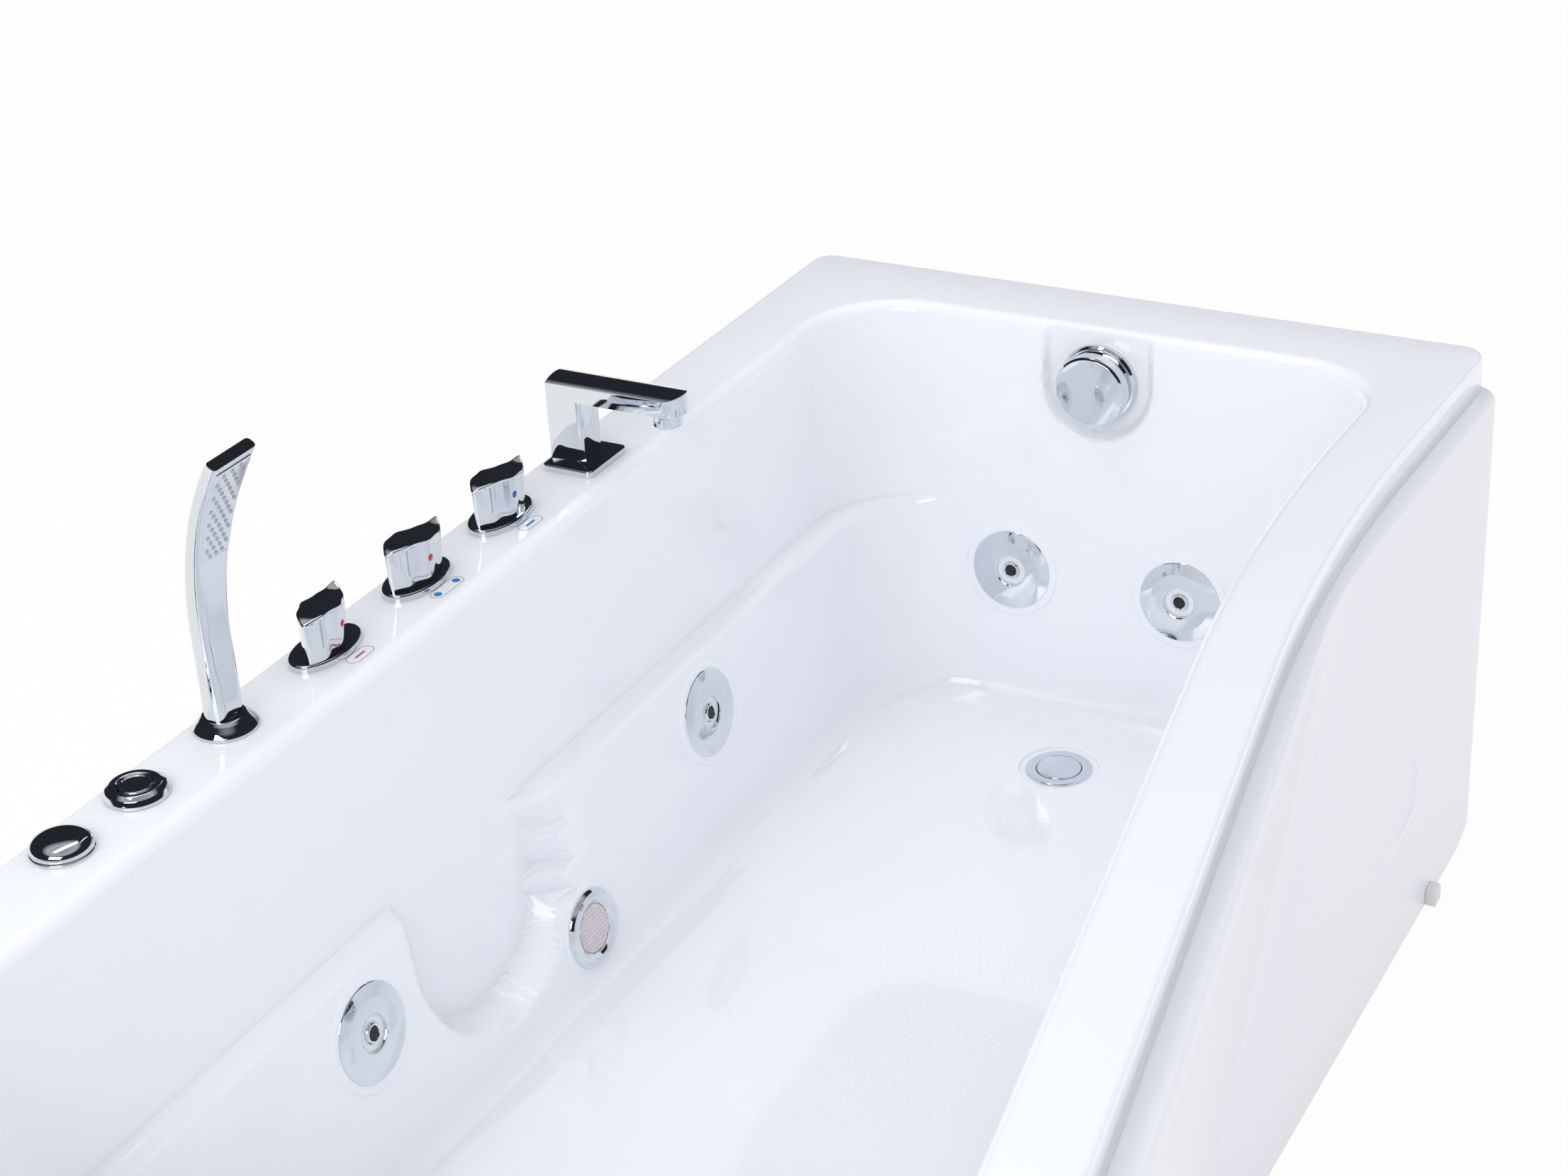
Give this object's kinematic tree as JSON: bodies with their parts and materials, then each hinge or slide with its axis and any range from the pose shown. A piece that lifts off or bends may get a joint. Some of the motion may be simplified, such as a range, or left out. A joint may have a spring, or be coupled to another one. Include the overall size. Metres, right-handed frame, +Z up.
{
  "type": "corner jetted bathtub",
  "caption": "Built-in jetted bathtub wider at the head end, with armrest ledge, flared front panel, deck taps, hand shower, water jets, light, pop-up waste and pump frame.",
  "frame": {"origin": "on the floor under the middle of the outer box", "axes": "+Z up, +X towards the drain end, +Y towards the wall behind the tap deck"},
  "size_m": [1.83, 1.0137, 0.8613],
  "materials": {
    "white_acrylic": "high gloss sanitary acrylic",
    "panel_acrylic": "high gloss sanitary acrylic",
    "white_plastic": "semi-matt moulded plastic",
    "grey_plastic": "matt moulded plastic",
    "chrome": "mirror polished chrome plate",
    "brass": "bare turned brass",
    "red_mark": "gloss",
    "blue_mark": "gloss",
    "grey_rubber": "matt silicone",
    "foot_rubber": "matt",
    "clear_lens": "clear",
    "board": "bare board",
    "galvanised_steel": "galvanised",
    "motor_metal": "satin paint"
  },
  "bodies": {
    "tub": {"tub_shell": "white_acrylic", "front_panel": "panel_acrylic", "panel_clip": "white_plastic", "support_board": "board", "frame_rails": "galvanised_steel", "frame_cross_members": "galvanised_steel", "adjusting_feet": "foot_rubber", "foot_lock_nuts": "galvanised_steel", "spout_base_plate": "chrome", "spout_body": "chrome", "spout_aerator": "chrome", "knob_plates": "chrome", "deck_lock_nuts": "brass", "mixing_pipes": "brass", "hand_shower_collar": "chrome", "air_button_ring": "chrome", "air_switch_body": "grey_plastic", "air_control_base": "chrome", "air_control_valve": "grey_plastic", "jet_flanges": "chrome", "jet_bodies": "white_plastic", "light_bezel": "chrome", "light_lens": "clear_lens", "light_housing": "grey_plastic", "suction_cover": "chrome", "suction_body": "white_plastic", "overflow_flange": "chrome", "overflow_elbow": "white_plastic", "overflow_pipe": "white_plastic", "drain_flange": "chrome", "waste_trap": "white_plastic", "pump_motor": "motor_metal", "pump_wet_end": "grey_plastic", "pump_bracket": "galvanised_steel", "water_pipe": "white_plastic", "suction_pipe": "white_plastic", "air_pipe": "white_plastic", "control_box": "grey_plastic", "hot_valve_body": "brass", "diverter_valve_body": "brass", "cold_valve_body": "brass"},
    "hot_knob_body": {"hot_knob": "chrome", "hot_knob_mark": "red_mark"},
    "diverter_knob_body": {"diverter_knob": "chrome", "diverter_knob_mark": "red_mark"},
    "cold_knob_body": {"cold_knob": "chrome", "cold_knob_mark": "blue_mark"},
    "hand_shower": {"hand_shower_body": "chrome", "hand_shower_spray_plate": "grey_rubber"},
    "air_button": {"air_button_cap": "chrome"},
    "air_control": {"air_control_knob": "chrome"},
    "overflow_control": {"overflow_knob": "chrome"},
    "drain_plug": {"drain_cap": "chrome"},
    "nozzle_rear_drain_side": {"jet_nozzle_rear_drain_side": "chrome"},
    "nozzle_rear_head_side": {"jet_nozzle_rear_head_side": "chrome"},
    "nozzle_end_rear_side": {"jet_nozzle_end_rear_side": "chrome"},
    "nozzle_end_front_side": {"jet_nozzle_end_front_side": "chrome"},
    "nozzle_front_drain_side": {"jet_nozzle_front_drain_side": "chrome"},
    "nozzle_front_head_side": {"jet_nozzle_front_head_side": "chrome"}
  },
  "joints": [
    {"name": "hot_knob_turn", "type": "hinge", "parent": "tub", "child": "hot_knob_body", "pos_m": [-0.12, 0.47187, 0.62], "axis": [0, 0, 1], "range_deg": [-17, 73]},
    {"name": "diverter_knob_turn", "type": "hinge", "parent": "tub", "child": "diverter_knob_body", "pos_m": [0.024, 0.47187, 0.62], "axis": [0, 0, 1], "range_deg": [-90, 90]},
    {"name": "cold_knob_turn", "type": "hinge", "parent": "tub", "child": "cold_knob_body", "pos_m": [0.168, 0.47187, 0.62], "axis": [0, 0, 1], "range_deg": [-90, 0]},
    {"name": "hand_shower_lift", "type": "slide", "parent": "tub", "child": "hand_shower", "axis": [0, 0, 1], "range_m": [0, 0.3]},
    {"name": "air_button_press", "type": "slide", "parent": "tub", "child": "air_button", "axis": [0, 0, -1], "range_m": [0, 0.003], "stiffness_N_per_m": 500, "springref_m": -0.001},
    {"name": "air_control_turn", "type": "hinge", "parent": "tub", "child": "air_control", "pos_m": [-0.476, 0.47187, 0.598], "axis": [0, 0, 1], "range_deg": [-180, 0]},
    {"name": "overflow_knob_turn", "type": "hinge", "parent": "tub", "child": "overflow_control", "pos_m": [0.803, 0.11087, 0.526], "axis": [-1, 0, 0], "range_deg": [0, 90]},
    {"name": "drain_cap_lift", "type": "slide", "parent": "tub", "child": "drain_plug", "axis": [0, 0, 1], "range_m": [0, 0.01]},
    {"name": "nozzle_swing_rear_drain_side", "type": "hinge", "parent": "tub", "child": "nozzle_rear_drain_side", "pos_m": [0.366, 0.3797, 0.28483], "axis": [1, 0, 0], "range_deg": [-15, 15]},
    {"name": "nozzle_swing_rear_head_side", "type": "hinge", "parent": "tub", "child": "nozzle_rear_head_side", "pos_m": [-0.251, 0.3797, 0.28483], "axis": [1, 0, 0], "range_deg": [-15, 15]},
    {"name": "nozzle_swing_end_rear_side", "type": "hinge", "parent": "tub", "child": "nozzle_end_rear_side", "pos_m": [0.79463, 0.20887, 0.28547], "axis": [0, -1, 0], "range_deg": [-15, 15]},
    {"name": "nozzle_swing_end_front_side", "type": "hinge", "parent": "tub", "child": "nozzle_end_front_side", "pos_m": [0.79463, 0.00287, 0.28547], "axis": [0, -1, 0], "range_deg": [-15, 15]},
    {"name": "nozzle_swing_front_drain_side", "type": "hinge", "parent": "tub", "child": "nozzle_front_drain_side", "pos_m": [0.36659, -0.18133, 0.28464], "axis": [-0.9966, -0.0828, 0], "range_deg": [-15, 15]},
    {"name": "nozzle_swing_front_head_side", "type": "hinge", "parent": "tub", "child": "nozzle_front_head_side", "pos_m": [-0.21417, -0.25422, 0.28288], "axis": [-0.9918, -0.1281, 0], "range_deg": [-15, 15]}
  ],
  "couplings": [
    {"joint": "drain_cap_lift", "follows": "overflow_knob_turn", "m_per_rad": 0.006366}
  ]
}
